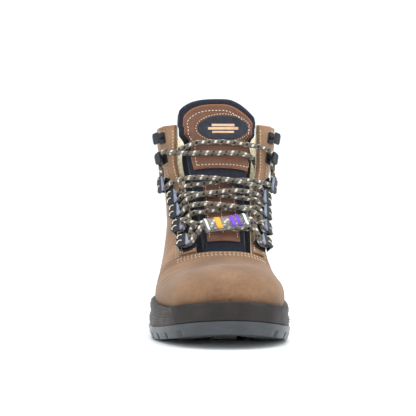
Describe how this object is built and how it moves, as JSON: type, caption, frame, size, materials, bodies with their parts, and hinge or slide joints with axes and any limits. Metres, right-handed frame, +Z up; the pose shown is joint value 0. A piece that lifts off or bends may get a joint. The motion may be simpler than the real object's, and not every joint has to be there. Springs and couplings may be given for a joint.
{
  "type": "safety work boot",
  "caption": "Lace-up ankle work boot for the right foot with a steel toe cap, rubber toe guard, lugged outsole, padded collar and tongue, and a cord lace through loops and hooks",
  "frame": {"origin": "on the floor under the middle of the outsole, where the tread rests", "axes": "+Z up, -Y toward the toe, +Y toward the heel, +X toward the inner side of the foot"},
  "size_m": [0.1126, 0.296, 0.1955],
  "materials": {
    "tread_rubber": "semi-gloss moulded rubber",
    "guard_rubber": "satin moulded rubber",
    "midsole_rubber": "satin ribbed rubber",
    "steel": "plain steel",
    "cork": "pressed cork",
    "board": "fibre board",
    "footbed_foam": "cloth-faced foam",
    "leather": "matte nubuck",
    "tongue_leather": "smooth matte leather",
    "lining_mesh": "air mesh",
    "foam": "cut foam",
    "stiffener": "stiff board",
    "black_cloth": "woven cloth",
    "badge": "moulded badge",
    "hardware": "moulded plastic",
    "lace_cord": "braided cord",
    "aglet": "crimped sleeve",
    "clear_plastic": "clear film"
  },
  "bodies": {
    "boot": {"outsole": "tread_rubber", "midsole": "midsole_rubber", "toe_guard": "guard_rubber", "steel_shank": "steel", "bottom_filler": "cork", "insole_board": "board", "footbed": "footbed_foam", "steel_toe_cap": "steel", "vamp": "leather", "vamp_lining": "lining_mesh", "backstay": "leather", "heel_counter": "stiffener", "lace": "lace_cord", "quarter_lateral": "leather", "lining_lateral": "lining_mesh", "eyestay_lateral": "leather", "collar_pad_lateral": "foam", "gusset_lateral": "black_cloth", "ankle_loop_lateral": "hardware", "aglet_lateral": "aglet", "lace_loop_1_lateral": "hardware", "lace_loop_2_lateral": "hardware", "lace_loop_3_lateral": "hardware", "lace_loop_4_lateral": "hardware", "speed_hook_1_lateral": "hardware", "speed_hook_2_lateral": "hardware", "quarter_medial": "leather", "lining_medial": "lining_mesh", "eyestay_medial": "leather", "collar_pad_medial": "foam", "gusset_medial": "black_cloth", "ankle_loop_medial": "hardware", "aglet_medial": "aglet", "lace_loop_1_medial": "hardware", "lace_loop_2_medial": "hardware", "lace_loop_3_medial": "hardware", "lace_loop_4_medial": "hardware", "speed_hook_1_medial": "hardware", "speed_hook_2_medial": "hardware"},
    "tongue": {"tongue_pad": "black_cloth", "tongue_overlay": "tongue_leather", "tongue_strip": "tongue_leather", "tongue_badge": "badge"},
    "tag": {"lace_tag": "clear_plastic"}
  },
  "joints": [
    {"name": "tongue_hinge", "type": "hinge", "parent": "boot", "child": "tongue", "pos_m": [0, -0.038, 0.06], "axis": [-1, 0, 0], "range_deg": [0, 6]},
    {"name": "tag_swing", "type": "hinge", "parent": "boot", "child": "tag", "pos_m": [0.00678, -0.03019, 0.09075], "axis": [0.982, 0.1352, 0.1319], "range_deg": [-12, 12]}
  ]
}
